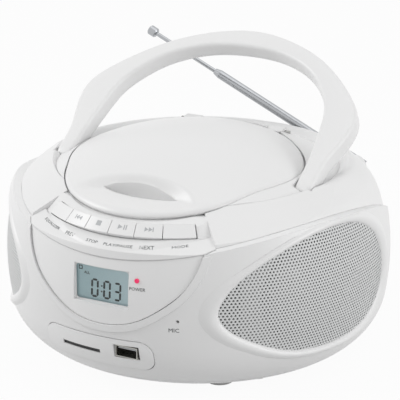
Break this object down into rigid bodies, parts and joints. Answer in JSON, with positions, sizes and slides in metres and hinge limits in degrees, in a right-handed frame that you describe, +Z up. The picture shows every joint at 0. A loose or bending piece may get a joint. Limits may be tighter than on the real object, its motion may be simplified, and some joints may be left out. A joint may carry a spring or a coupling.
{
  "type": "portable cd boombox",
  "caption": "Round portable CD boombox with wrapped side loudspeaker grilles, hinged CD lid, swing handle, key row, display and telescopic antenna.",
  "frame": {"origin": "centre of the footprint at the underside of the feet", "axes": "+X to the listener's right, +Y to the rear, +Z up"},
  "size_m": [0.2438, 0.2259, 0.1826],
  "materials": {
    "cabinet_white": "fine satin moulding",
    "handle_white": "satin moulding",
    "lid_white": "semi-gloss moulding",
    "key_white": "semi-gloss moulding",
    "panel_grey": "smooth satin",
    "rim_silver": "satin paint",
    "grille_steel": "perforated, powder coated",
    "display_window": "clear moulded window",
    "display_cell": "reflective liquid crystal cell",
    "lamp_red": "tinted lens",
    "black_plastic": "moulded",
    "knob_white": "satin moulding",
    "tinned_steel": "plated",
    "circuit_board": "solder mask",
    "transformer_iron": "lacquered laminations",
    "speaker_steel": "pressed steel with magnet",
    "speaker_paper": "coated paper",
    "gear_nylon": "unfilled nylon",
    "damper_rubber": "soft moulded",
    "antenna_chrome": "bright plated"
  },
  "bodies": {
    "cabinet": {"bottom_shell": "cabinet_white", "battery_bay": "black_plastic", "battery_contacts": "tinned_steel", "case_screws": "tinned_steel", "transformer": "transformer_iron", "main_board": "circuit_board", "lower_cabinet": "cabinet_white", "mains_inlet": "black_plastic", "mains_pins": "tinned_steel", "headphone_jack": "black_plastic", "volume_control": "black_plastic", "front_panel": "panel_grey", "display_glass": "display_window", "display_module": "display_cell", "power_led": "lamp_red", "microphone": "black_plastic", "media_bezel": "panel_grey", "card_reader": "tinned_steel", "usb_socket": "tinned_steel", "usb_tongue": "black_plastic", "front_board": "circuit_board", "top_cabinet": "cabinet_white", "key_board": "circuit_board", "cd_well": "black_plastic", "mech_dampers": "damper_rubber", "mech_frame": "tinned_steel", "spindle_motor": "tinned_steel", "sled_rods": "tinned_steel", "feed_motor": "tinned_steel", "lid_hinge_pins": "tinned_steel", "handle_pins": "tinned_steel", "speaker_rim_right": "rim_silver", "speaker_grille_right": "grille_steel", "speaker_baffle_right": "black_plastic", "speaker_frame_right": "speaker_steel", "speaker_cone_right": "speaker_paper", "speaker_rim_left": "rim_silver", "speaker_grille_left": "grille_steel", "speaker_baffle_left": "black_plastic", "speaker_frame_left": "speaker_steel", "speaker_cone_left": "speaker_paper", "feet": "damper_rubber"},
    "lid": {"cd_lid": "lid_white", "disc_clamp": "black_plastic"},
    "handle": {"handle": "handle_white"},
    "turntable": {"turntable": "gear_nylon"},
    "laser_sled": {"laser_sled": "black_plastic", "laser_head": "black_plastic"},
    "sled_gear": {"sled_gear": "gear_nylon"},
    "antenna_swivel": {"antenna_swivel": "antenna_chrome"},
    "antenna_tube": {"antenna_tube": "antenna_chrome"},
    "antenna_rod": {"antenna_rod": "antenna_chrome"},
    "volume_knob": {"volume_knob": "knob_white"},
    "battery_door": {"battery_door": "cabinet_white"},
    "key_1": {"key_1": "key_white"},
    "key_2": {"key_2": "key_white"},
    "key_3": {"key_3": "key_white"},
    "key_4": {"key_4": "key_white"},
    "key_5": {"key_5": "key_white"},
    "key_6": {"key_6": "key_white"}
  },
  "joints": [
    {"name": "lid_hinge", "type": "hinge", "parent": "cabinet", "child": "lid", "pos_m": [0, 0.059, 0.1252], "axis": [-1, 0, 0], "range_deg": [0, 68]},
    {"name": "handle_pivot", "type": "hinge", "parent": "cabinet", "child": "handle", "pos_m": [0, -0.01247, 0.11283], "axis": [1, 0, 0], "range_deg": [0, 57.5]},
    {"name": "turntable_spin", "type": "hinge", "parent": "cabinet", "child": "turntable", "pos_m": [0, -0.023, 0.1045], "axis": [0, 0, 1], "continuous": true},
    {"name": "sled_slide", "type": "slide", "parent": "cabinet", "child": "laser_sled", "axis": [0, 1, 0], "range_m": [0, 0.031]},
    {"name": "sled_gear_spin", "type": "hinge", "parent": "cabinet", "child": "sled_gear", "pos_m": [0.03085, 0.0007, 0.0935], "axis": [0, 0, 1], "range_deg": [-300, 10]},
    {"name": "antenna_turn", "type": "hinge", "parent": "cabinet", "child": "antenna_swivel", "pos_m": [0.0664, 0.109, 0.0949], "axis": [0, 1, 0], "range_deg": [-25, 155]},
    {"name": "antenna_tilt", "type": "hinge", "parent": "antenna_swivel", "child": "antenna_tube", "pos_m": [0.05844, 0.1084, 0.09865], "axis": [-0.4258, 0, -0.9048], "range_deg": [0, 90]},
    {"name": "antenna_draw", "type": "slide", "parent": "antenna_tube", "child": "antenna_rod", "axis": [-0.9048, 0, 0.4258], "range_m": [-0.044, 0.044]},
    {"name": "volume_turn", "type": "hinge", "parent": "cabinet", "child": "volume_knob", "pos_m": [0.08007, 0.09693, 0.04], "axis": [0.6691, 0.7431, 0], "range_deg": [-150, 150]},
    {"name": "battery_door_release", "type": "slide", "parent": "cabinet", "child": "battery_door", "axis": [0, 0, -1], "range_m": [0, 0.02]},
    {"name": "key_1_press", "type": "slide", "parent": "cabinet", "child": "key_1", "axis": [0.3637, 0.6064, -0.7071], "range_m": [0, 0.0012], "stiffness_N_per_m": 500, "springref_m": -0.0006},
    {"name": "key_2_press", "type": "slide", "parent": "cabinet", "child": "key_2", "axis": [0.2167, 0.6731, -0.7071], "range_m": [0, 0.0012], "stiffness_N_per_m": 500, "springref_m": -0.0006},
    {"name": "key_3_press", "type": "slide", "parent": "cabinet", "child": "key_3", "axis": [0.0727, 0.7034, -0.7071], "range_m": [0, 0.0012], "stiffness_N_per_m": 500, "springref_m": -0.0006},
    {"name": "key_4_press", "type": "slide", "parent": "cabinet", "child": "key_4", "axis": [-0.0727, 0.7034, -0.7071], "range_m": [0, 0.0012], "stiffness_N_per_m": 500, "springref_m": -0.0006},
    {"name": "key_5_press", "type": "slide", "parent": "cabinet", "child": "key_5", "axis": [-0.2167, 0.6731, -0.7071], "range_m": [0, 0.0012], "stiffness_N_per_m": 500, "springref_m": -0.0006},
    {"name": "key_6_press", "type": "slide", "parent": "cabinet", "child": "key_6", "axis": [-0.3637, 0.6064, -0.7071], "range_m": [0, 0.0012], "stiffness_N_per_m": 500, "springref_m": -0.0006}
  ],
  "couplings": [
    {"joint": "sled_gear_spin", "follows": "sled_slide", "rad_per_m": -156.25}
  ]
}
